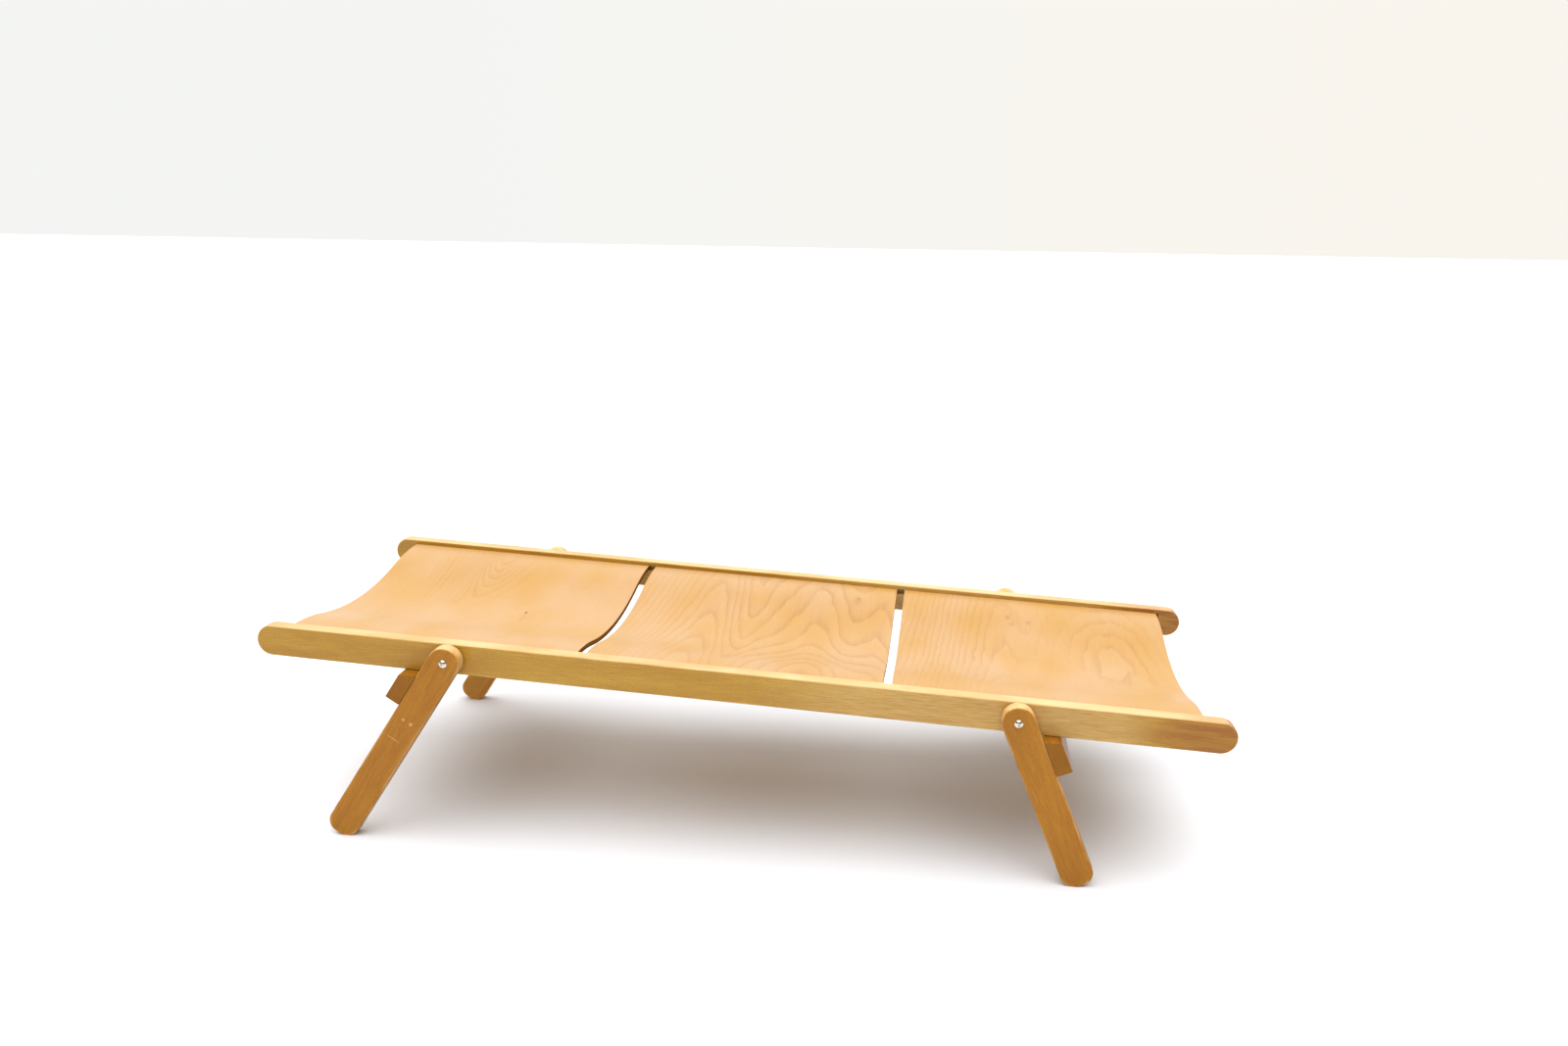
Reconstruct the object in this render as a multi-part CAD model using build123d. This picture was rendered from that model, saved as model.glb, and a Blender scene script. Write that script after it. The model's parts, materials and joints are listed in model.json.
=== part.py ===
from build123d import *
import math
import os

# Low folding daybed: two long side rails carry three hammock-shaped plywood panels in stopped
# grooves. Each end stands on a leg frame of two legs and a cross bar, hinged on a pair of pivot
# bolts. Opened, the cross bar lies under the rails and stops the legs. The head legs are longer
# than the foot legs, so the bed slopes down gently from head to foot.
#
# Row frame, in millimetres: +X from head to foot, +Y across, +Z up, origin on the floor under
# the middle of the bed. Bed frame: the same axes turned by the slope, origin at mid-length on
# the rails' centre line. Leg frame: origin on the pivot axis, foot towards -Z, outboard +X.

# Bed
BED_SLOPE = 2.85            # degrees, head end higher
RAIL_CENTRE_HEIGHT = 367.5  # of the rails' centre line at mid-length, above the floor
CLEAR_WIDTH = 700.0         # between the rails' inner faces

# Side rails
RAIL_LENGTH = 2000.0
RAIL_HEIGHT = 65.0
STOCK_THICKNESS = 32.0      # rails, legs and cross bars are planed from the same boards
RAIL_EDGE_RADIUS = 3.0
GROOVE_HALF_LENGTH = 947.0
GROOVE_DEPTH = 10.0
GROOVE_BELOW_TOP = 11.1
GROOVE_HEIGHT = 12.4

# Plywood panels
PANEL_THICKNESS = 12.0
PANEL_LENGTH = 617.0
PANEL_STARTS = {"panel_head": -946.0, "panel_middle": -311.0, "panel_foot": 324.0}
PANEL_IN_GROOVE = 9.0       # how far each flange enters its groove
PANEL_BELOW_TOP = 11.3      # flange top, below the rail top
FLANGE_WIDTH = 11.3         # flat strip along each rail
SHOULDER_RADIUS = 632.0     # of the top face, where the flange turns down into the hollow
HOLLOW_DEPTH = 37.4         # lowest point of the top face below the flange
PANEL_EDGE_RADIUS = 1.2

# Legs
LEG_WIDTH = 66.0
LEG_EDGE_RADIUS = 3.5
FOOT_RADIUS = 27.0          # both corners of the foot; the top of the leg is a full half round
FOOT_CUT = 2.0              # taken off the inner corner where it stands on the floor

# Cross bars
BAR_WIDTH = 76.0            # along the leg, on the face against the legs
BAR_EDGE_RADIUS = 1.5
STOP_GAP = 0.3              # between the cross bar and the rails when open

# Each end of the bed: which way is outboard, pivot distance from mid-length, leg splay
ENDS = {
    "head": {"side": -1, "pivot": 585.0, "splay": 29.8},
    "foot": {"side": 1, "pivot": 577.0, "splay": 25.4},
}

# Dowels between leg and cross bar
DOWEL_DIAMETER = 10.0
DOWEL_LENGTH = 50.0
DOWEL_IN_BAR = 22.0
DOWEL_HOLE_CLEARANCE = 0.1  # on the diameter
DOWEL_HOLE_EXTRA = 1.0      # empty depth at each end
DOWEL_EDGE_DISTANCE = 20.0  # from the bar's lower edge, and between the bar's middle and the other

# Pivot hardware
BOLT_DIAMETER = 8.0
BORE_DIAMETER = 8.1         # running fit of the leg and of the rail on the bolt
HEAD_DIAMETER = 17.0
HEAD_HEIGHT = 5.0
HEAD_RIM = 1.2              # straight edge below the dome
SOCKET_ACROSS_FLATS = 5.0
SOCKET_DEPTH = 3.0
SPACER_DIAMETER = 24.0
SPACER_THICKNESS = 1.5
LEG_SIDE_GAP = 0.3          # each side of the leg, to the spacer and to the bolt head
WASHER_DIAMETER = 16.0
WASHER_THICKNESS = 1.6
NUT_ACROSS_FLATS = 13.0
NUT_HEX_HEIGHT = 7.0
NUT_DOME_RADIUS = 6.0
NUT_DOME_HEIGHT = 6.0
BOLT_IN_NUT = 9.0
NUT_BORE_DEPTH = 10.0

# Derived places, all measured outwards from mid-width
RAIL_INNER_Y = CLEAR_WIDTH / 2
RAIL_OUTER_Y = RAIL_INNER_Y + STOCK_THICKNESS
SPACER_OUTER_Y = RAIL_OUTER_Y + SPACER_THICKNESS
LEG_INNER_Y = SPACER_OUTER_Y + LEG_SIDE_GAP
LEG_OUTER_Y = LEG_INNER_Y + STOCK_THICKNESS
HEAD_SEAT_Y = LEG_OUTER_Y + LEG_SIDE_GAP
NUT_SEAT_Y = RAIL_INNER_Y - WASHER_THICKNESS
BOLT_END_Y = NUT_SEAT_Y - BOLT_IN_NUT
CUT_SIZE = 4000.0           # larger than the whole bed, for cutting with a half space


def in_bed(shape):
    """Bed frame to row frame."""
    return Pos(0, 0, RAIL_CENTRE_HEIGHT) * Rot(0, BED_SLOPE, 0) * shape


def in_leg(end, shape):
    """Leg frame of one end to bed frame. Its outboard +X is turned to that end's outside."""
    side = ENDS[end]["side"]
    turned = Rot(0, -ENDS[end]["splay"], 0) * shape
    if side < 0:
        turned = mirror(turned, about=Plane.YZ)
    return Pos(side * ENDS[end]["pivot"], 0, 0) * turned


def both_sides(shape):
    """A shape near the front (-Y) side and its mirror image at the rear."""
    return [shape, mirror(shape, about=Plane.XZ)]


def y_cylinder(diameter, y_from, y_to):
    """Cylinder along Y through the origin's axis, between two y values."""
    middle = (y_from + y_to) / 2
    return Pos(0, middle, 0) * Rot(90, 0, 0) * Cylinder(diameter / 2, abs(y_to - y_from))


def eased_board(outline, edge_radius):
    """Board along X, wide along Z, thick along Y, cut to an outline drawn flat, with eased edges."""
    board = extrude(outline, STOCK_THICKNESS / 2, both=True)
    faces = board.faces().sort_by(Axis.Z)
    board = fillet(faces[0].edges() + faces[-1].edges(), edge_radius)
    return Rot(90, 0, 0) * board


def front_rail():
    """Side rail with its stopped panel groove and two pivot bores, in the bed frame."""
    board = eased_board(SlotOverall(RAIL_LENGTH, RAIL_HEIGHT), RAIL_EDGE_RADIUS)
    rail = Pos(0, -RAIL_INNER_Y - STOCK_THICKNESS / 2, 0) * board
    groove_z = RAIL_HEIGHT / 2 - GROOVE_BELOW_TOP - GROOVE_HEIGHT / 2
    groove = Box(2 * GROOVE_HALF_LENGTH, 2 * GROOVE_DEPTH, GROOVE_HEIGHT)
    rail -= Pos(0, -RAIL_INNER_Y, groove_z) * groove
    for end in ENDS.values():
        bore = y_cylinder(BORE_DIAMETER, -RAIL_OUTER_Y - 1, -RAIL_INNER_Y + 1)
        rail -= Pos(end["side"] * end["pivot"], 0, 0) * bore
    return rail


def panel_outline(depth):
    """The panel's cross-section line, at a depth below its top face, as edges in the YZ plane."""
    flange_y = RAIL_INNER_Y - FLANGE_WIDTH
    flange_z = RAIL_HEIGHT / 2 - PANEL_BELOW_TOP
    radii_sum = (flange_y ** 2 + HOLLOW_DEPTH ** 2) / (2 * HOLLOW_DEPTH)
    hollow_centre_z = flange_z - HOLLOW_DEPTH + radii_sum - SHOULDER_RADIUS
    hollow_radius = radii_sum - SHOULDER_RADIUS + depth
    shoulder_radius = SHOULDER_RADIUS - depth
    shoulder_centre_z = flange_z - SHOULDER_RADIUS
    turn = math.asin(flange_y / radii_sum)

    def on_shoulder(side, angle):
        return (side * (flange_y - shoulder_radius * math.sin(angle)),
                shoulder_centre_z + shoulder_radius * math.cos(angle))

    def on_hollow(angle):
        return (hollow_radius * math.sin(angle), hollow_centre_z - hollow_radius * math.cos(angle))

    edge_y = RAIL_INNER_Y + PANEL_IN_GROOVE
    edge_z = flange_z - depth
    return [
        Line((-edge_y, edge_z), on_shoulder(-1, 0)),
        ThreePointArc(on_shoulder(-1, 0), on_shoulder(-1, turn / 2), on_shoulder(-1, turn)),
        ThreePointArc(on_hollow(-turn), on_hollow(0), on_hollow(turn)),
        ThreePointArc(on_shoulder(1, turn), on_shoulder(1, turn / 2), on_shoulder(1, 0)),
        Line(on_shoulder(1, 0), (edge_y, edge_z)),
    ]


def panel(start_x):
    """One moulded plywood panel: flat flanges in the grooves and a shallow hollow between."""
    top = panel_outline(0)
    bottom = panel_outline(PANEL_THICKNESS)
    sides = [Line(top[0] @ 0, bottom[0] @ 0), Line(top[-1] @ 1, bottom[-1] @ 1)]
    section = Plane.YZ * make_face(top + bottom + sides)
    sheet = extrude(section, PANEL_LENGTH)
    ends = sheet.faces().sort_by(Axis.X)
    long_edges = [e for face in (ends[0], ends[-1]) for e in face.edges() if e.length > PANEL_THICKNESS + 1]
    return Pos(start_x, 0, 0) * fillet(long_edges, PANEL_EDGE_RADIUS)


def leg_length(end):
    """Distance from the pivot to the square end of the foot, so that its inner corner stands."""
    side = ENDS[end]["side"]
    slope = math.radians(BED_SLOPE)
    lean = math.radians(ENDS[end]["splay"]) - side * slope
    pivot_height = RAIL_CENTRE_HEIGHT - side * ENDS[end]["pivot"] * math.sin(slope)
    drop = pivot_height - (FOOT_RADIUS - FOOT_CUT)
    drop -= (LEG_WIDTH / 2 - FOOT_RADIUS) * math.sin(lean)
    return drop / math.cos(lean) + FOOT_RADIUS


def bar_top(end):
    """Distance down the leg at which the bar's inner face meets the rails' underside."""
    splay = math.radians(ENDS[end]["splay"])
    return (RAIL_HEIGHT / 2 + STOP_GAP + LEG_WIDTH / 2 * math.sin(splay)) / math.cos(splay)


def dowel_drops(end):
    """How far down the leg the two dowels of one joint lie."""
    lower = bar_top(end) + BAR_WIDTH - DOWEL_EDGE_DISTANCE
    return (lower - 2 * DOWEL_EDGE_DISTANCE + 4, lower)


def dowel_at(drop, diameter, extra):
    """A dowel or its hole across the joint of leg and cross bar, in the leg frame."""
    middle_x = LEG_WIDTH / 2 + DOWEL_IN_BAR - DOWEL_LENGTH / 2
    middle_y = -(LEG_INNER_Y + LEG_OUTER_Y) / 2
    rod = Rot(0, 90, 0) * Cylinder(diameter / 2, DOWEL_LENGTH + 2 * extra)
    return Pos(middle_x, middle_y, -drop) * rod


def dowel_holes(end):
    """The two holes of the front joint, in the leg frame."""
    diameter = DOWEL_DIAMETER + DOWEL_HOLE_CLEARANCE
    return [dowel_at(drop, diameter, DOWEL_HOLE_EXTRA) for drop in dowel_drops(end)]


def leg_outline(end):
    """The leg drawn flat, pivot at the origin and foot towards +X."""
    length = leg_length(end)
    stem = Pos(length / 2, 0) * RectangleRounded(length, LEG_WIDTH, FOOT_RADIUS)
    top = SlotOverall(length, LEG_WIDTH)
    return stem + Pos(length / 2 - LEG_WIDTH / 2, 0) * top


def front_leg(end):
    """Leg with a bore on its pivot and its foot cut flat on the floor, in the row frame."""
    board = Rot(0, 90, 0) * eased_board(leg_outline(end), LEG_EDGE_RADIUS)
    leg = Pos(0, -(LEG_INNER_Y + LEG_OUTER_Y) / 2, 0) * board
    leg -= y_cylinder(BORE_DIAMETER, -LEG_OUTER_Y - 1, -LEG_INNER_Y + 1)
    for hole in dowel_holes(end):
        leg -= hole
    placed = in_bed(in_leg(end, leg))
    return placed - Pos(0, 0, -CUT_SIZE / 2) * Box(CUT_SIZE, CUT_SIZE, CUT_SIZE)


def cross_bar(end):
    """Bar on the outboard edges of both legs, bevelled to lie against the rails, in the row frame."""
    bottom = bar_top(end) + BAR_WIDTH
    height = bottom - LEG_WIDTH / 2
    middle_x = LEG_WIDTH / 2 + STOCK_THICKNESS / 2
    bar = Pos(middle_x, 0, -bottom + height / 2) * Box(STOCK_THICKNESS, 2 * LEG_OUTER_Y, height)
    for hole in dowel_holes(end):
        for side_hole in both_sides(hole):
            bar -= side_hole
    above_rails = Pos(0, 0, CUT_SIZE / 2 - RAIL_HEIGHT / 2 - STOP_GAP) * Box(CUT_SIZE, CUT_SIZE, CUT_SIZE)
    bar = in_leg(end, bar) - above_rails
    long_edges = [e for e in bar.edges().filter_by(GeomType.LINE) if e.length > LEG_OUTER_Y]
    return in_bed(fillet(long_edges, BAR_EDGE_RADIUS))


def dowels(end):
    """The four dowels of one leg frame, in the row frame."""
    front = [in_bed(in_leg(end, dowel_at(drop, DOWEL_DIAMETER, 0))) for drop in dowel_drops(end)]
    return [solid for rod in front for solid in both_sides(rod)]


def bolt_head():
    """Low domed head with a hexagon socket, standing along +Z on its seat."""
    half = HEAD_DIAMETER / 2
    dome_height = HEAD_HEIGHT - HEAD_RIM
    dome_radius = (half ** 2 + dome_height ** 2) / (2 * dome_height)
    rim_top = (half, HEAD_RIM)
    crown = (0, HEAD_HEIGHT)
    outline = [
        Line(crown, (0, 0)),
        Line((0, 0), (half, 0)),
        Line((half, 0), rim_top),
        RadiusArc(rim_top, crown, -dome_radius),
    ]
    head = revolve(Plane.XZ * make_face(outline), Axis.Z)
    socket = extrude(RegularPolygon(SOCKET_ACROSS_FLATS / math.sqrt(3), 6), HEAD_HEIGHT)
    return head - Pos(0, 0, HEAD_HEIGHT - SOCKET_DEPTH) * socket


def bolt():
    """Pivot bolt along Y at the front side: head against the leg, end in the cap nut."""
    shank = y_cylinder(BOLT_DIAMETER, -HEAD_SEAT_Y, -BOLT_END_Y)
    return Pos(0, -HEAD_SEAT_Y, 0) * Rot(90, 0, 0) * bolt_head() + shank


def ring(outer_diameter, y_from, y_to):
    """Flat washer around the bolt."""
    return y_cylinder(outer_diameter, y_from, y_to) - y_cylinder(BORE_DIAMETER, y_from - 1, y_to + 1)


def cap_nut():
    """Domed hexagon nut on the rail's inner face."""
    hexagon = extrude(RegularPolygon(NUT_ACROSS_FLATS / math.sqrt(3), 6), NUT_HEX_HEIGHT / 2, both=True)
    body = Pos(0, -NUT_SEAT_Y + NUT_HEX_HEIGHT / 2, 0) * Rot(90, 0, 0) * hexagon
    body += y_cylinder(2 * NUT_DOME_RADIUS, -NUT_SEAT_Y, -NUT_SEAT_Y + NUT_DOME_HEIGHT)
    body += Pos(0, -NUT_SEAT_Y + NUT_HEX_HEIGHT, 0) * Sphere(NUT_DOME_RADIUS)
    return body - y_cylinder(BORE_DIAMETER, -NUT_SEAT_Y - 1, -NUT_SEAT_Y + NUT_BORE_DEPTH)


def at_pivots(shape):
    """A piece of pivot hardware at all four pivots, in the row frame."""
    placed = []
    for end in ENDS.values():
        at_end = in_bed(Pos(end["side"] * end["pivot"], 0, 0) * shape)
        placed += both_sides(at_end)
    return placed


def save(node, shapes):
    """Write one node's solids to its STEP file."""
    solids = [solid for shape in shapes for solid in shape.solids()]
    whole = solids[0] if len(solids) == 1 else Compound(children=solids)
    whole.label = node
    export_step(whole, os.path.join("parts", node + ".step"))


def main():
    os.makedirs("parts", exist_ok=True)
    rail, rear_rail = both_sides(in_bed(front_rail()))
    save("rail_front", [rail])
    save("rail_rear", [rear_rail])
    for node, start_x in PANEL_STARTS.items():
        save(node, [in_bed(panel(start_x))])
    for end in ENDS:
        leg, rear_leg = both_sides(front_leg(end))
        save(end + "_leg_front", [leg])
        save(end + "_leg_rear", [rear_leg])
        save(end + "_cross_bar", [cross_bar(end)])
        save(end + "_dowels", dowels(end))
    save("pivot_bolts", at_pivots(bolt()))
    save("pivot_spacers", at_pivots(ring(SPACER_DIAMETER, -SPACER_OUTER_Y, -RAIL_OUTER_Y)))
    save("pivot_washers", at_pivots(ring(WASHER_DIAMETER, -RAIL_INNER_Y, -NUT_SEAT_Y)))
    save("pivot_cap_nuts", at_pivots(cap_nut()))


main()
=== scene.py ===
import json
import math

import bpy
from mathutils import Euler, Matrix, Vector


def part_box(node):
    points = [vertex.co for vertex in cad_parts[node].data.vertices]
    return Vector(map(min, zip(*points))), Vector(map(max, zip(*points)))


# A low folding daybed of beech and moulded plywood on a pale floor. Every visible piece is a node of
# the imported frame, so this script makes its materials, the light and the camera. Metres.

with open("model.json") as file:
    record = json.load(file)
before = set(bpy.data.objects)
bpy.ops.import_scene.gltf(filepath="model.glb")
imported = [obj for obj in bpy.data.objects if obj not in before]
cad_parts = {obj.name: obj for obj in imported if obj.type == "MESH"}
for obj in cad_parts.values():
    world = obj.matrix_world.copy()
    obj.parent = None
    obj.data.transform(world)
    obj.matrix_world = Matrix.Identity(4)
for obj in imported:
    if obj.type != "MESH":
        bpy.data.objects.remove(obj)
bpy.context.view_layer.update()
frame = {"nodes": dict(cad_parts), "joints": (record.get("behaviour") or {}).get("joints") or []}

# ---------------------------------------------------------------------------------------------
# Places and sizes, from the frame
# ---------------------------------------------------------------------------------------------

JOINTS = {joint["name"]: joint for joint in frame["joints"]}
PIVOTS = {end: Vector(JOINTS[end + "_leg_fold"]["pos_m"]) for end in ("head", "foot")}
OUTBOARD = {"head": -1, "foot": 1}
SPLAY = {end: math.radians(JOINTS[end + "_leg_fold"]["range_deg"][1] - 90) for end in PIVOTS}
SLOPE = math.atan2(PIVOTS["head"].z - PIVOTS["foot"].z, PIVOTS["foot"].x - PIVOTS["head"].x)

RAIL_LOW, RAIL_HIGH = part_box("rail_front")
BED_ORIGIN = Vector((0, 0, (RAIL_LOW.z + RAIL_HIGH.z) / 2))
BOARD_THICKNESS = RAIL_HIGH.y - RAIL_LOW.y
RAIL_Y = -(RAIL_LOW.y + RAIL_HIGH.y) / 2
RAIL_LENGTH = 2.0
RAIL_WIDTH = 0.065
LEG_WIDTH = 0.066
FOOT_RADIUS = 0.027         # of both corners of the foot
FOOT_CUT = 0.002            # taken off the inner corner where it stands
PANEL_LENGTH = 0.617
PANEL_THICKNESS = 0.012
PANEL_TOP = 0.0212          # flange top above the rails' centre line
HOLLOW_DEPTH = 0.0374       # of its lowest point, below the flange top
FLANGE_Y = 0.3387           # where the flange turns down into the shoulder
SHOULDER_RADIUS = 0.632     # of the top face, between the flange and the hollow


# ---------------------------------------------------------------------------------------------
# Shader graph helpers
# ---------------------------------------------------------------------------------------------

class Graph:
    """A shader node tree, with one short call for each kind of node used here."""

    def __init__(self, tree):
        self.tree = tree

    def node(self, kind, inputs=(), **settings):
        made = self.tree.nodes.new("ShaderNode" + kind)
        for key, value in settings.items():
            setattr(made, key, value)
        for key, value in dict(inputs).items():
            self.feed(made.inputs[key], value)
        return made

    def feed(self, socket, value):
        if isinstance(value, bpy.types.NodeSocket):
            self.tree.links.new(value, socket)
        else:
            socket.default_value = value

    def math(self, operation, a, b=0.0, c=0.0):
        return self.node("Math", {0: a, 1: b, 2: c}, operation=operation).outputs[0]

    def add(self, a, b):
        return self.math("ADD", a, b)

    def subtract(self, a, b):
        return self.math("SUBTRACT", a, b)

    def multiply(self, a, b):
        return self.math("MULTIPLY", a, b)

    def length2(self, a, b):
        return self.math("SQRT", self.add(self.multiply(a, a), self.multiply(b, b)))

    def smooth(self, value, low, high):
        """0 below low, 1 above high, smooth between. With low above high it falls instead."""
        if low < high:
            ends = {"From Min": low, "From Max": high, "To Min": 0.0, "To Max": 1.0}
        else:
            ends = {"From Min": high, "From Max": low, "To Min": 1.0, "To Max": 0.0}
        made = self.node("MapRange", {"Value": value, **ends}, interpolation_type="SMOOTHSTEP")
        return made.outputs["Result"]

    def fine_noise(self, scale, detail):
        """Noise in the object's own coordinates, at an even scale."""
        where = self.node("TexCoord").outputs["Object"]
        scaled = self.node("Mapping", {"Vector": where, "Scale": (scale, scale, scale)})
        return self.noise(scaled.outputs[0], detail=detail)

    def between(self, value, low, high):
        """Linear change of a 0 to 1 value into low to high."""
        ends = {"To Min": low, "To Max": high}
        return self.node("MapRange", {"Value": value, **ends}).outputs["Result"]

    def vector(self, x, y, z):
        return self.node("CombineXYZ", {0: x, 1: y, 2: z}).outputs[0]

    def noise(self, vector, detail=2.0, roughness=0.5):
        inputs = {"Vector": vector, "Scale": 1.0, "Detail": detail, "Roughness": roughness}
        return self.node("TexNoise", inputs).outputs["Fac"]

    def blend(self, factor, a, b):
        made = self.node("Mix", data_type="RGBA")
        for socket, value in ((made.inputs[0], factor), (made.inputs[6], a), (made.inputs[7], b)):
            self.feed(socket, value)
        return made.outputs[2]

    def placed(self, origin, rotation):
        """Coordinates in a board's own frame, in metres, which move with the board."""
        where = self.node("TexCoord").outputs["Object"]
        moved = self.node("Mapping", {"Vector": where, "Location": origin, "Rotation": rotation},
                          vector_type="TEXTURE")
        return self.node("SeparateXYZ", {0: moved.outputs[0]}).outputs


class MaterialGraph(Graph):
    """The node tree of a new material."""

    def __init__(self, name):
        self.material = bpy.data.materials.new(name)
        self.material.use_nodes = True
        super().__init__(self.material.node_tree)
        self.shader = self.tree.nodes["Principled BSDF"]

    def bump(self, height, distance, strength):
        made = self.node("Bump", {"Height": height, "Distance": distance, "Strength": strength})
        self.tree.links.new(made.outputs[0], self.shader.inputs["Normal"])

    def finish(self, colour, roughness, constants):
        self.feed(self.shader.inputs["Base Color"], colour)
        self.feed(self.shader.inputs["Roughness"], roughness)
        for key, value in constants.items():
            self.shader.inputs[key].default_value = value
        return self.material


def srgb(red, green, blue):
    """A colour given as 0 to 255 screen values, as the linear colour that shaders take."""
    def linear(value):
        value = value / 255
        return value / 12.92 if value <= 0.04045 else ((value + 0.055) / 1.055) ** 2.4
    return (linear(red), linear(green), linear(blue), 1.0)


# Layers of grain: length and width of their marks in metres, and what is added to a board's seed
WANDER = (0.55, 0.11, 0.0)
PATCHES = (0.30, 0.018, 3.7)
BROAD = (0.42, 0.045, 11.3)
FIBRE = (0.050, 0.0018, 5.1)
FLECK = (0.0042, 0.00085, 8.9)
GLOSS = (0.21, 0.05, 40.0)
RAIL_FLAME = (0.12, 0.012, 21.0)
RAIL_DASHES = (0.034, 0.0019, 60.0)
# Patches of the painted light on the rails' upper face
RAIL_TOP_LIGHT_PATCHES = (0.14, 0.05, 50.0)
# Patches of the arrises' wear and painted highlight; the legs' patches also break up the painted highlight
# on their rims
RAIL_WEAR_AND_HIGHLIGHT = (0.09, 0.03, 30.0)
LEG_WEAR_AND_HIGHLIGHT = (0.05, 0.02, 30.0)
VENEER_BROAD = (0.30, 0.16, 2.0)
VENEER_FIBRE = (0.070, 0.0016, 6.0)
VENEER_FLECK = (0.0048, 0.0009, 9.0)

FLECK_EDGE = (0.60, 0.70)   # noise values between which a fleck fades in
BROAD_EDGE = (0.30, 0.70)   # and between which the light tone gives way to the middle one


def streaks(graph, place, layer, seed, **settings):
    """Noise drawn out along the grain. The place is (along, across, depth)."""
    along, across, depth = place
    length, width, seed_step = layer
    vector = graph.vector(
        graph.math("MULTIPLY_ADD", along, 1 / length, seed + seed_step),
        graph.multiply(across, 1 / width),
        graph.multiply(depth, 1 / width))
    return graph.noise(vector, **settings)


# Finishes, as constants of the surface
VARNISH = {"Coat Weight": 0.28, "Coat Roughness": 0.28, "Specular IOR Level": 0.3}
PANEL_VARNISH = {"Coat Weight": 0.08, "Coat Roughness": 0.3, "Specular IOR Level": 0.25}
OILED = {"Coat Weight": 0.05, "Coat Roughness": 0.35, "Specular IOR Level": 0.25}
DRY = {"Coat Weight": 0.0, "Coat Roughness": 0.4, "Specular IOR Level": 0.1}
GRAIN_DEPTH = 0.00035       # of the pores in the finished surface


def finished_wood(graph, wood, place, seed, finish):
    """The finish over the wood: slightly uneven gloss, and pores that show through it."""
    colour, fine, height = wood
    cloud = streaks(graph, place, GLOSS, seed, detail=3.0)
    roughness = graph.add(graph.between(cloud, 0.30, 0.46), graph.multiply(fine, 0.08))
    graph.bump(height, GRAIN_DEPTH, 0.55)
    return graph.finish(colour, roughness, finish)


# ---------------------------------------------------------------------------------------------
# Solid beech boards
# ---------------------------------------------------------------------------------------------

ARRIS = (0.0045, 0.0005)    # distance in from both faces together where an arris starts, and is full


def arris(graph, place, length, width, thickness):
    """1 on the rounded edges of a board with full-round ends, 0 on its faces. The board is centred."""
    along, across, depth = place
    past_straight = graph.subtract(graph.math("ABSOLUTE", along), (length - width) / 2)
    beyond = graph.math("MAXIMUM", past_straight, 0.0)
    from_outline = graph.subtract(width / 2, graph.length2(beyond, across))
    from_face = graph.subtract(thickness / 2, graph.math("ABSOLUTE", depth))
    return graph.smooth(graph.add(from_outline, from_face), *ARRIS)


def beech(graph, place, tones, pith, seed, ring=0.0032, taper=0.0, contrast=0.5):
    """Colour, fine marks and bump height of solid beech, from rings round a pith outside the board."""
    along, across, depth = place
    light, middle, dark, fleck_tone = tones
    wander = streaks(graph, place, WANDER, seed, detail=2.0)
    radius = graph.length2(graph.subtract(across, pith[0]), graph.subtract(depth, pith[1]))
    drift = graph.add(graph.multiply(along, taper), graph.between(wander, -0.011, 0.011))
    turns = graph.math("DIVIDE", graph.add(radius, drift), ring)
    phase = graph.math("FRACT", turns)
    late = graph.smooth(phase, 0.45, 0.93)
    early = graph.smooth(phase, 1.0, 0.93)
    line = graph.multiply(late, early)
    strength = graph.between(streaks(graph, place, PATCHES, seed, detail=1.0), 0.15, 1.0)
    line = graph.multiply(line, strength)

    broad = streaks(graph, place, BROAD, seed, detail=3.0, roughness=0.55)
    fibre = streaks(graph, place, FIBRE, seed, detail=2.0, roughness=0.6)
    flecks = graph.smooth(streaks(graph, place, FLECK, seed, detail=0.0), *FLECK_EDGE)

    colour = graph.blend(graph.smooth(broad, *BROAD_EDGE), light, middle)
    colour = graph.blend(graph.multiply(line, contrast), colour, dark)
    colour = graph.blend(graph.multiply(graph.smooth(fibre, 0.35, 0.72), 0.45), colour, dark)
    colour = graph.blend(graph.multiply(flecks, 0.42), colour, fleck_tone)
    hollows = graph.add(graph.multiply(flecks, 0.5), graph.multiply(line, 0.25))
    height = graph.subtract(graph.multiply(fibre, -0.6), hollows)
    return colour, flecks, height


# Tones of the wood: light, middle, dark line, fleck
RAIL_TONES = (srgb(192, 150, 48), srgb(176, 129, 30), srgb(144, 95, 14), srgb(128, 80, 10))
LEG_TONES = (srgb(184, 124, 26), srgb(164, 106, 14), srgb(136, 78, 8), srgb(118, 66, 6))
# Paler copy of the leg tones for the rear legs: painted light on legs that stand in shade under the bed
REAR_LEG_TONES_PAINTED_LIGHT = (srgb(208, 148, 50), srgb(188, 130, 36), srgb(158, 100, 24), srgb(140, 86, 18))
BAR_TONES = (srgb(156, 104, 24), srgb(136, 86, 16), srgb(110, 64, 10), srgb(96, 54, 8))
WORN_AND_HIGHLIGHT = srgb(226, 184, 122)          # scuffs, rubbed edges, and painted highlight on the arrises and on the rims of the legs' tops
RAIL_TOP_PAINTED_LIGHT = srgb(234, 186, 130)      # painted light on the upper face of the rails, in patches
FADED = srgb(212, 176, 120)         # foot half of the rails
FLAME = srgb(144, 80, 8)            # foot end of the rails
BAR_END = srgb(142, 92, 34)         # end grain of the cross bars

# Along the rail from its middle, in metres: where the fading and the flame start and are full
FADE_RISE = (0.0, 0.30)
FADE_FALL = (0.87, 0.76)
FLAME_RISE = (0.76, 0.93)
RAIL_TOP_EDGE = (0.0035, 0.0010)    # below the rail's top, where the painted light on the upper face starts and is full


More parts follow.
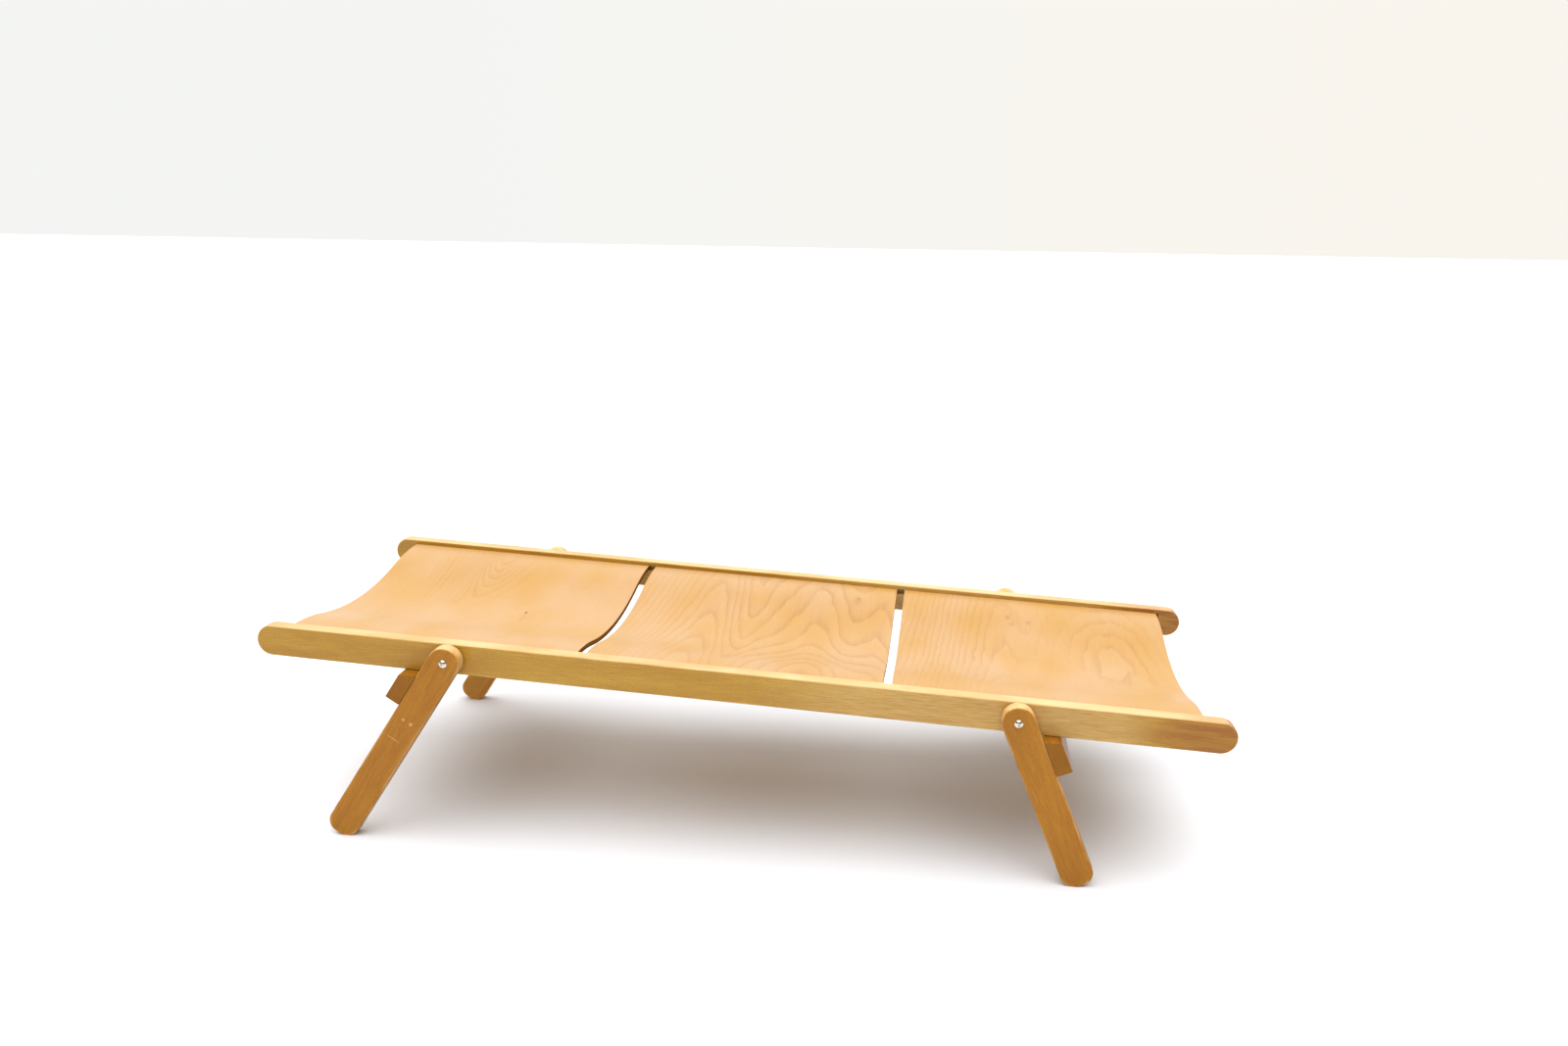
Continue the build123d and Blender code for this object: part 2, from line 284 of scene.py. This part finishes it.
def rail_material(name, side, seed, pith):
    """Rail: straight grain along the bed, faded foot half, painted light on the upper face, arrises partly
    worn and partly painted highlight, flame at the foot end.
    """
    graph = MaterialGraph(name)
    origin = Vector((BED_ORIGIN.x, side * RAIL_Y, BED_ORIGIN.z))
    along, depth, across = graph.placed(origin, (0, SLOPE, 0))
    place = (along, across, depth)
    colour, fine, height = beech(graph, place, RAIL_TONES, pith, seed)

    flame = streaks(graph, place, RAIL_FLAME, seed, detail=3.0, roughness=0.6)
    near_end = graph.smooth(along, *FLAME_RISE)
    flame = graph.multiply(graph.between(graph.smooth(flame, 0.40, 0.58), 0.50, 1.0), near_end)
    colour = graph.blend(graph.multiply(flame, 0.85), colour, FLAME)

    faded = graph.multiply(graph.smooth(along, *FADE_RISE), graph.smooth(along, *FADE_FALL))
    dashes = graph.smooth(streaks(graph, place, RAIL_DASHES, seed, detail=2.0), 0.30, 0.70)
    colour = graph.blend(graph.multiply(faded, graph.between(dashes, 0.15, 0.50)), colour, FADED)

    # Painted light on the upper face of the rail, in patches
    start, full = RAIL_TOP_EDGE
    top = graph.smooth(across, RAIL_WIDTH / 2 - start, RAIL_WIDTH / 2 - full)
    top_light_patches = graph.smooth(streaks(graph, place, RAIL_TOP_LIGHT_PATCHES, seed, detail=3.0), 0.30, 0.70)
    colour = graph.blend(graph.multiply(top, graph.between(top_light_patches, 0.35, 0.80)), colour, RAIL_TOP_PAINTED_LIGHT)

    # The arrises are partly worn and partly painted highlight
    edge = arris(graph, place, RAIL_LENGTH, RAIL_WIDTH, BOARD_THICKNESS)
    patchy = graph.smooth(streaks(graph, place, RAIL_WEAR_AND_HIGHLIGHT, seed, detail=4.0), 0.40, 0.66)
    colour = graph.blend(graph.multiply(graph.multiply(edge, patchy), 0.55), colour, WORN_AND_HIGHLIGHT)
    return finished_wood(graph, (colour, fine, height), place, seed, VARNISH)


def leg_lean(end):
    """Angle of a leg from upright, in radians."""
    return SPLAY[end] - OUTBOARD[end] * SLOPE


def leg_frame(end):
    """Rotation about Y that points a board's own X down the leg."""
    lean = leg_lean(end)
    return (0, math.atan2(math.cos(lean), OUTBOARD[end] * math.sin(lean)), 0)


def leg_reach(end):
    """Distance from the pivot to the middle of a full-round end drawn at the foot."""
    lean = leg_lean(end)
    square = LEG_WIDTH / 2 - FOOT_RADIUS
    return (PIVOTS[end].z - FOOT_RADIUS + FOOT_CUT - square * math.sin(lean)) / math.cos(lean) - square


LEG_RING = 0.0060                   # wide rings, cut flat
LEG_RIM = (0.0012, 0.0004)          # inside the round top, where the painted highlight on the rim starts and is full
LEG_RIM_FALL = (0.03, -0.01)        # along the leg from the pivot, where the rim has ended, and is full


def leg_material(name, end, side, tones, seed, pith, taper, scuffs=()):
    """Leg: darker board with a flat-sawn figure that runs out along it, arrises partly worn and partly
    painted highlight, and a painted highlight on the rim of its round top.
    """
    graph = MaterialGraph(name)
    low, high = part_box(f"{end}_leg_{'front' if side < 0 else 'rear'}")
    origin = Vector((PIVOTS[end].x, (low.y + high.y) / 2, PIVOTS[end].z))
    along, depth, across = graph.placed(origin, leg_frame(end))
    place = (along, across, depth)
    colour, fine, height = beech(graph, place, tones, pith, seed, ring=LEG_RING, taper=taper, contrast=0.3)

    reach = leg_reach(end)
    centred = graph.subtract(along, reach / 2)
    # The arrises are partly worn and partly painted highlight
    edge = arris(graph, (centred, across, depth), reach + LEG_WIDTH, LEG_WIDTH, BOARD_THICKNESS)
    patchy = graph.smooth(streaks(graph, place, LEG_WEAR_AND_HIGHLIGHT, seed, detail=4.0), 0.42, 0.62)
    colour = graph.blend(graph.multiply(graph.multiply(edge, patchy), 0.50), colour, WORN_AND_HIGHLIGHT)

    # Painted highlight on the rim of the round top, in patches
    start, full = LEG_RIM
    from_pivot = graph.length2(graph.math("MINIMUM", along, 0.0), across)
    rim = graph.smooth(from_pivot, LEG_WIDTH / 2 - start, LEG_WIDTH / 2 - full)
    at_top = graph.smooth(along, *LEG_RIM_FALL)
    rim_highlight = graph.multiply(graph.multiply(rim, at_top), graph.between(patchy, 0.45, 0.85))
    colour = graph.blend(rim_highlight, colour, WORN_AND_HIGHLIGHT)

    for where, offset, long, wide, amount in scuffs:
        u = graph.multiply(graph.subtract(along, where), 1 / long)
        v = graph.multiply(graph.subtract(across, offset), 1 / wide)
        spot = graph.smooth(graph.length2(u, v), 1.0, 0.35)
        colour = graph.blend(graph.multiply(spot, amount), colour, WORN_AND_HIGHLIGHT)
    return finished_wood(graph, (colour, fine, height), place, seed, OILED)


BAR_END_DEPTH = (0.0008, 0.0002)    # below the bar's ends, where end grain starts and is full


def bar_material(name, end, seed, pith):
    """Cross bar: grain across the bed, end grain at its ends."""
    graph = MaterialGraph(name)
    across, along, depth = graph.placed(PIVOTS[end], leg_frame(end))
    place = (along, across, depth)
    colour, fine, height = beech(graph, place, BAR_TONES, pith, seed)
    half_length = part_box(end + "_cross_bar")[1].y
    start, full = BAR_END_DEPTH
    sawn = graph.smooth(graph.math("ABSOLUTE", along), half_length - start, half_length - full)
    colour = graph.blend(graph.multiply(sawn, 0.6), colour, BAR_END)
    return finished_wood(graph, (colour, fine, height), place, seed, DRY)


# ---------------------------------------------------------------------------------------------
# Moulded plywood panels
# ---------------------------------------------------------------------------------------------

LINES = 20.0                # contour lines to one unit of a profile curve
PLIES = 5
GLUE_LINE = (0.09, 0.02)    # distance from a glue line, in plies, where its colour starts and is full
SKIN = (0.0004, 0.0008)     # depth at which the face veneer's look gives way to the cut edge's
MILLIMETRES = 1000.0        # to a metre: figures are laid out in millimetres
PANEL_LIGHT = srgb(187, 149, 102)
PANEL_MIDDLE = srgb(184, 140, 71)
PANEL_DARK = srgb(152, 100, 50)
PLY_LIGHT = srgb(150, 102, 48)
PLY_DARK = srgb(118, 74, 34)
GLUE = srgb(84, 52, 24)


def panel_depth(graph, across, up):
    """Depth below the panel's top face, which is a flat flange, a soft shoulder and a wide hollow."""
    radii = (FLANGE_Y ** 2 + HOLLOW_DEPTH ** 2) / (2 * HOLLOW_DEPTH)
    hollow_radius = radii - SHOULDER_RADIUS
    turn = math.asin(FLANGE_Y / radii)
    side = graph.math("ABSOLUTE", across)
    hollow_z = PANEL_TOP - HOLLOW_DEPTH + hollow_radius
    in_hollow = graph.subtract(graph.length2(across, graph.subtract(up, hollow_z)), hollow_radius)
    bend_z = PANEL_TOP - SHOULDER_RADIUS
    bend_y = graph.math("MINIMUM", graph.subtract(side, FLANGE_Y), 0.0)
    in_bend = graph.subtract(SHOULDER_RADIUS, graph.length2(bend_y, graph.subtract(up, bend_z)))
    outside = graph.math("GREATER_THAN", side, hollow_radius * math.sin(turn))
    mixed = graph.node("Mix", {0: outside, 2: in_hollow, 3: in_bend}, data_type="FLOAT")
    return mixed.outputs[0]


def profile_curve(graph, position, profile):
    """Smooth curve through given points: distance along the panel in mm, height in contour lines."""
    made = graph.node("FloatCurve", {"Value": graph.multiply(position, 1 / PANEL_LENGTH)})
    curve = made.mapping.curves[0]
    made.mapping.use_clip = False
    for where, lines in profile[1:-1]:
        curve.points.new(where / MILLIMETRES / PANEL_LENGTH, lines / LINES)
    for point, (where, lines) in zip((curve.points[0], curve.points[-1]), (profile[0], profile[-1])):
        point.location = (where / MILLIMETRES / PANEL_LENGTH, lines / LINES)
    made.mapping.update()
    return graph.multiply(made.outputs[0], LINES)


def in_spot(graph, along, across, spot):
    """The two coordinates inside a spot given in mm: middle along and across, half length and width."""
    where, offset, long, wide = spot
    u = graph.multiply(graph.subtract(along, where / MILLIMETRES), MILLIMETRES / long)
    v = graph.multiply(graph.subtract(across, offset / MILLIMETRES), MILLIMETRES / wide)
    return u, v


def spot_distance(graph, along, across, spot):
    """Distance from a spot's middle, 1 at the edge of its ellipse."""
    return graph.length2(*in_spot(graph, along, across, spot))


def veneer_field(graph, along, across, figure):
    """Height map whose contour lines are the rotary-cut figure, counted in lines."""
    seed = figure["seed"]
    profile = profile_curve(graph, along, figure["profile"])
    field = graph.math("MULTIPLY_ADD", across, figure["lean"], profile)
    for *spot, lines in figure["hills"]:
        u, v = in_spot(graph, along, across, spot)
        squared = graph.add(graph.multiply(u, u), graph.multiply(v, v))
        hill = graph.math("EXPONENT", graph.multiply(squared, -1.0))
        field = graph.math("MULTIPLY_ADD", hill, lines, field)

    swell_along = graph.math("MULTIPLY_ADD", along, 9.0, seed)
    swell_place = graph.vector(swell_along, graph.multiply(across, 3.5), seed)
    swell = graph.noise(swell_place, detail=1.5, roughness=0.4)
    ripple_along = graph.math("MULTIPLY_ADD", along, 60.0, seed)
    ripple = graph.noise(graph.vector(ripple_along, graph.multiply(across, 14.0), 0.0), detail=2.0)
    field = graph.add(field, graph.between(swell, -0.5, 0.5))
    return graph.add(field, graph.between(ripple, -figure["ripple"], figure["ripple"]))


def veneer_lines(graph, along, across, figure):
    """Dark lines of the figure, 0 to 1: soft on one side, sharp on the other, and fading in places."""
    phase = graph.math("FRACT", veneer_field(graph, along, across, figure))
    soft = graph.multiply(graph.smooth(phase, 0.10, 0.90), 0.35)
    rising = graph.add(soft, graph.multiply(graph.smooth(phase, 0.60, 0.95), 0.65))
    line = graph.multiply(rising, graph.smooth(phase, 1.0, 0.95))
    fade_across = graph.math("MULTIPLY_ADD", across, 5.0, figure["seed"])
    fade = graph.noise(graph.vector(graph.multiply(along, 70.0), fade_across, 3.0), detail=1.0)
    clear = 0.0
    for spot in figure["clear"]:
        inside = graph.smooth(spot_distance(graph, along, across, spot), 1.3, 0.5)
        clear = graph.math("MAXIMUM", inside, clear)
    shown = graph.multiply(clear, graph.between(graph.smooth(fade, 0.30, 0.62), 0.3, 1.0))
    return graph.multiply(line, graph.between(shown, figure["faint"], 1.0))


def ply_edge(graph, depth):
    """Colour of the cut edges: plies in two tones with glue lines between."""
    layers = graph.math("DIVIDE", depth, PANEL_THICKNESS / PLIES)
    odd = graph.math("GREATER_THAN", graph.math("FRACT", graph.multiply(layers, 0.5)), 0.5)
    glue = graph.smooth(graph.math("PINGPONG", layers, 0.5), *GLUE_LINE)
    return graph.blend(graph.multiply(glue, 0.7), graph.blend(odd, PLY_LIGHT, PLY_DARK), GLUE)


def panel_material(node, figure):
    """Rotary-cut beech veneer with its grain across the bed, and glued layers on the cut edges."""
    graph = MaterialGraph("ply_" + node)
    seed = figure["seed"]
    along, across, up = graph.placed(BED_ORIGIN, (0, SLOPE, 0))
    low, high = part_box(node)
    start = (low.x + high.x) / 2 / math.cos(SLOPE) - PANEL_LENGTH / 2
    local = graph.subtract(along, start)
    line = veneer_lines(graph, local, across, figure)

    flat = graph.multiply(up, 0.0)
    place = (across, local, flat)
    broad = streaks(graph, place, VENEER_BROAD, seed, detail=2.0)
    fibre = streaks(graph, place, VENEER_FIBRE, seed, detail=2.0, roughness=0.6)
    flecks = graph.smooth(streaks(graph, place, VENEER_FLECK, seed, detail=0.0), *FLECK_EDGE)

    colour = graph.blend(graph.smooth(broad, *BROAD_EDGE), PANEL_LIGHT, PANEL_MIDDLE)
    colour = graph.blend(graph.multiply(line, figure["contrast"]), colour, PANEL_DARK)
    colour = graph.blend(graph.multiply(graph.smooth(fibre, 0.40, 0.80), 0.20), colour, PANEL_DARK)
    colour = graph.blend(graph.multiply(flecks, 0.25), colour, PANEL_DARK)
    for *spot, amount in figure["marks"]:
        dark = graph.smooth(spot_distance(graph, local, across, spot), 1.0, 0.4)
        colour = graph.blend(graph.multiply(dark, amount), colour, PLY_DARK)

    depth = panel_depth(graph, across, up)
    below_top = graph.smooth(depth, *SKIN)
    above_bottom = graph.smooth(depth, *(PANEL_THICKNESS - skin for skin in SKIN))
    inside = graph.multiply(below_top, above_bottom)
    colour = graph.blend(inside, colour, ply_edge(graph, depth))
    hollows = graph.add(graph.multiply(flecks, 0.4), graph.multiply(line, 0.15))
    height = graph.subtract(graph.multiply(fibre, -0.6), hollows)
    material = finished_wood(graph, (colour, flecks, height), place, seed, PANEL_VARNISH)
    # The sawn edges are bare, so they have no gloss
    for gloss in ("Coat Weight", "Specular IOR Level"):
        graph.feed(graph.shader.inputs[gloss], graph.between(inside, PANEL_VARNISH[gloss], 0.0))
    return material


# Each panel's figure. The profile's points are (mm from the panel's head end, contour lines), the
# lean is contour lines per metre across the bed, and a hill is (mm along, mm across, half length,
# half width, contour lines). A clear spot shows the lines at full strength, a mark is a small dark
# fleck with its strength last, and both are placed and sized the same way.
FIGURES = {
    "panel_head": {
        "seed": 3.1, "lean": -4.0, "ripple": 0.30, "contrast": 0.34, "faint": 0.12,
        "clear": [(225, 190, 110, 190)],
        "profile": [(0, 13.0), (90, 9.5), (150, 5.5), (200, 1.2), (250, -1.6), (320, -1.0), (420, -1.2),
                    (520, -1.6), (617, -2.4)],
        "hills": [(266, 330, 55, 190, -5.0), (180, 230, 45, 90, 1.0), (215, -60, 50, 120, -1.6)],
        "marks": [(405, 0, 4, 14, 0.9), (410, -45, 2.5, 35, 0.25)]},
    "panel_middle": {
        "seed": 12.4, "lean": -6.0, "ripple": 0.18, "contrast": 0.42, "faint": 0.40,
        "clear": [(420, 20, 330, 400)],
        "profile": [(0, -9.0), (65, -5.0), (100, -2.8), (120, -1.6), (140, -0.8), (180, 0.5), (220, -0.3),
                    (240, -1.5), (260, -2.6), (285, -3.34), (300, -3.1), (320, -2.4), (350, -1.9),
                    (400, -1.2), (435, -0.56), (470, -0.9), (500, -1.8), (527, -2.34), (555, -2.2),
                    (590, -1.86), (617, -2.4)],
        "hills": [(528, 250, 14, 30, 0.8), (450, -310, 150, 200, 2.6)],
        "marks": [(528, 252, 6, 18, 0.28)]},
    "panel_foot": {
        "seed": 25.7, "lean": -5.0, "ripple": 0.45, "contrast": 0.34, "faint": 0.20,
        "clear": [(110, 60, 170, 400), (487, 90, 90, 250)],
        "profile": [(0, -15.0), (60, -11.0), (120, -6.5), (180, -2.5), (230, -0.6), (290, -1.2), (360, 0.2),
                    (420, 0.8), (490, 1.0), (560, 0.8), (617, -0.6)],
        "hills": [(487, 80, 85, 200, 2.6)],
        "marks": [(252, 232, 7, 16, 0.30), (262, 200, 9, 10, 0.22), (300, 215, 8, 12, 0.25)]},
}


# ---------------------------------------------------------------------------------------------
# Small parts
# ---------------------------------------------------------------------------------------------

PLATE = srgb(226, 222, 206)
PLATE_STAIN = srgb(196, 186, 158)
TURNING_DEPTH = 0.00004
DOWEL_GRAIN_DEPTH = 0.0002


def plated_material():
    """Bright zinc plate with faint turning marks and a slightly warm stain."""
    graph = MaterialGraph("plated_steel")
    grain = graph.fine_noise(900, detail=3.0)
    stain = graph.fine_noise(160, detail=2.0)
    colour = graph.blend(graph.smooth(stain, 0.35, 0.70), PLATE, PLATE_STAIN)
    graph.bump(grain, TURNING_DEPTH, 0.5)
    return graph.finish(colour, graph.between(grain, 0.16, 0.34), {"Metallic": 1.0})


def dowel_material():
    """Bare beech dowels, hidden in the joints."""
    graph = MaterialGraph("dowel_beech")
    place = tuple(graph.placed(PIVOTS["head"], leg_frame("head")))
    colour, fine, height = beech(graph, place, RAIL_TONES, (0.03, 0.05), 17.0)
    graph.bump(height, DOWEL_GRAIN_DEPTH, 0.5)
    return graph.finish(colour, graph.between(fine, 0.6, 0.75), {})


def dress(node, material):
    """Give a node of the frame its material."""
    data = frame["nodes"][node].data
    data.materials.clear()
    data.materials.append(material)


# Pale scuffs on the front head leg: along and across from the pivot, half length and width, strength
HEAD_LEG_SCUFFS = [
    (0.155, 0.010, 0.006, 0.005, 0.5),
    (0.155, -0.008, 0.004, 0.004, 0.6),
    (0.205, -0.005, 0.002, 0.022, 0.3)]

# Legs: material, end, side, tones, seed, pith (across, depth), taper of the rings along the leg
LEGS = {
    "head_leg_front": ("beech_head_leg_front", "head", -1, LEG_TONES, 2.2, (0.012, -0.050), 0.03,
                       HEAD_LEG_SCUFFS),
    # The rear legs take the paler tones, which are painted light on legs in shade under the bed
    "head_leg_rear": ("beech_head_leg_rear", "head", 1, REAR_LEG_TONES_PAINTED_LIGHT, 14.0, (-0.02, 0.060), 0.02),
    "foot_leg_front": ("beech_foot_leg_front", "foot", -1, LEG_TONES, 31.0, (0.004, -0.040), 0.05),
    "foot_leg_rear": ("beech_foot_leg_rear", "foot", 1, REAR_LEG_TONES_PAINTED_LIGHT, 44.0, (0.015, 0.045), 0.03),
}


def dress_all():
    """Every node gets its material."""
    dress("rail_front", rail_material("beech_rail_front", -1, 1.3, (0.055, 0.035)))
    dress("rail_rear", rail_material("beech_rail_rear", 1, 7.9, (-0.060, 0.030)))
    for node, figure in FIGURES.items():
        dress(node, panel_material(node, figure))
    for node, leg in LEGS.items():
        dress(node, leg_material(*leg))
    dress("head_cross_bar", bar_material("beech_head_bar", "head", 5.5, (0.02, 0.08)))
    dress("foot_cross_bar", bar_material("beech_foot_bar", "foot", 9.5, (-0.02, 0.09)))
    plated = plated_material()
    for node in ("pivot_bolts", "pivot_spacers", "pivot_washers", "pivot_cap_nuts"):
        dress(node, plated)
    dowel = dowel_material()
    for node in ("head_dowels", "foot_dowels"):
        dress(node, dowel)


# ---------------------------------------------------------------------------------------------
# Floor, light, camera
# ---------------------------------------------------------------------------------------------

FLOOR_SIZE = 60
FLOOR_TONES = (srgb(222, 225, 230), srgb(225, 228, 233))


def make_floor():
    """Plain pale floor, large enough for every view."""
    bpy.ops.mesh.primitive_plane_add(size=FLOOR_SIZE, location=(0, 0, 0))
    floor = bpy.context.object
    floor.name = "floor"
    graph = MaterialGraph("pale_floor")
    mottle = graph.fine_noise(1.5, detail=3.0)
    colour = graph.blend(mottle, *FLOOR_TONES)
    roughness = graph.between(mottle, 0.6, 0.7)
    floor.data.materials.append(graph.finish(colour, roughness, {"Specular IOR Level": 0.2}))


SUN_STRENGTH = 5.0
SUN_SPREAD = math.radians(85)


def make_sun():
    """Very soft light from overhead."""
    data = bpy.data.lights.new("overhead", "SUN")
    data.energy = SUN_STRENGTH
    data.angle = SUN_SPREAD
    data.color = (1.0, 0.99, 0.985)
    light = bpy.data.objects.new("overhead", data)
    light.rotation_euler = Euler((math.radians(8), math.radians(-3), 0))
    light.visible_camera = False
    bpy.context.scene.collection.objects.link(light)


COOL_WALL = (0.955, 0.965, 0.95, 1.0)   # towards the head end
WARM_WALL = (1.0, 0.965, 0.90, 1.0)     # towards the foot end


def make_world():
    """Pale surroundings, brighter behind the bed, dimmer behind the camera and overhead."""
    world = bpy.data.worlds.new("studio")
    bpy.context.scene.world = world
    world.use_nodes = True
    graph = Graph(world.node_tree)
    direction = graph.node("SeparateXYZ", {0: graph.node("TexCoord").outputs["Generated"]}).outputs
    colour = graph.blend(graph.smooth(direction[0], -0.5, 0.3), COOL_WALL, WARM_WALL)
    back = graph.between(graph.smooth(direction[1], -0.7, 0.5), 0.38, 0.95)
    overhead = graph.between(graph.smooth(direction[2], 0.12, 0.45), 1.0, 0.30)
    wall = graph.multiply(graph.smooth(direction[2], 0.12, 0.25), graph.smooth(direction[2], 0.85, 0.55))
    wall = graph.multiply(wall, graph.smooth(direction[1], 0.1, 0.6))
    background = world.node_tree.nodes["Background"]
    graph.feed(background.inputs["Color"], colour)
    graph.feed(background.inputs["Strength"], graph.add(graph.multiply(back, overhead), wall))


CAMERA_PLACE = Vector((0.4177, -2.9221, 1.3413))
CAMERA_YAW = math.radians(-6.956)       # turned towards the head end
CAMERA_PITCH = math.radians(13.79)      # looking down
CAMERA_ROLL = math.radians(0.69)
CAMERA_LENS = 31.15                     # mm
CAMERA_SENSOR = 36                      # mm wide


def make_camera():
    """Camera in front of the bed, on the foot side of its middle, at chest height."""
    place, yaw, pitch, roll = CAMERA_PLACE, CAMERA_YAW, CAMERA_PITCH, CAMERA_ROLL
    forward = Vector((math.sin(yaw) * math.cos(pitch), math.cos(yaw) * math.cos(pitch), -math.sin(pitch)))
    level = Vector((math.cos(yaw), -math.sin(yaw), 0))
    upright = level.cross(forward)
    right = math.cos(roll) * level + math.sin(roll) * upright
    up = -math.sin(roll) * level + math.cos(roll) * upright
    data = bpy.data.cameras.new("camera")
    data.sensor_width = CAMERA_SENSOR
    data.lens = CAMERA_LENS
    data.clip_start, data.clip_end = 0.05, 100
    camera = bpy.data.objects.new("camera", data)
    camera.matrix_world = Matrix((
        (right.x, up.x, -forward.x, place.x),
        (right.y, up.y, -forward.y, place.y),
        (right.z, up.z, -forward.z, place.z),
        (0, 0, 0, 1)))
    bpy.context.scene.collection.objects.link(camera)
    bpy.context.scene.camera = camera


make_camera()
make_floor()
make_world()
make_sun()
dress_all()
bpy.context.scene.view_settings.view_transform = "Standard"
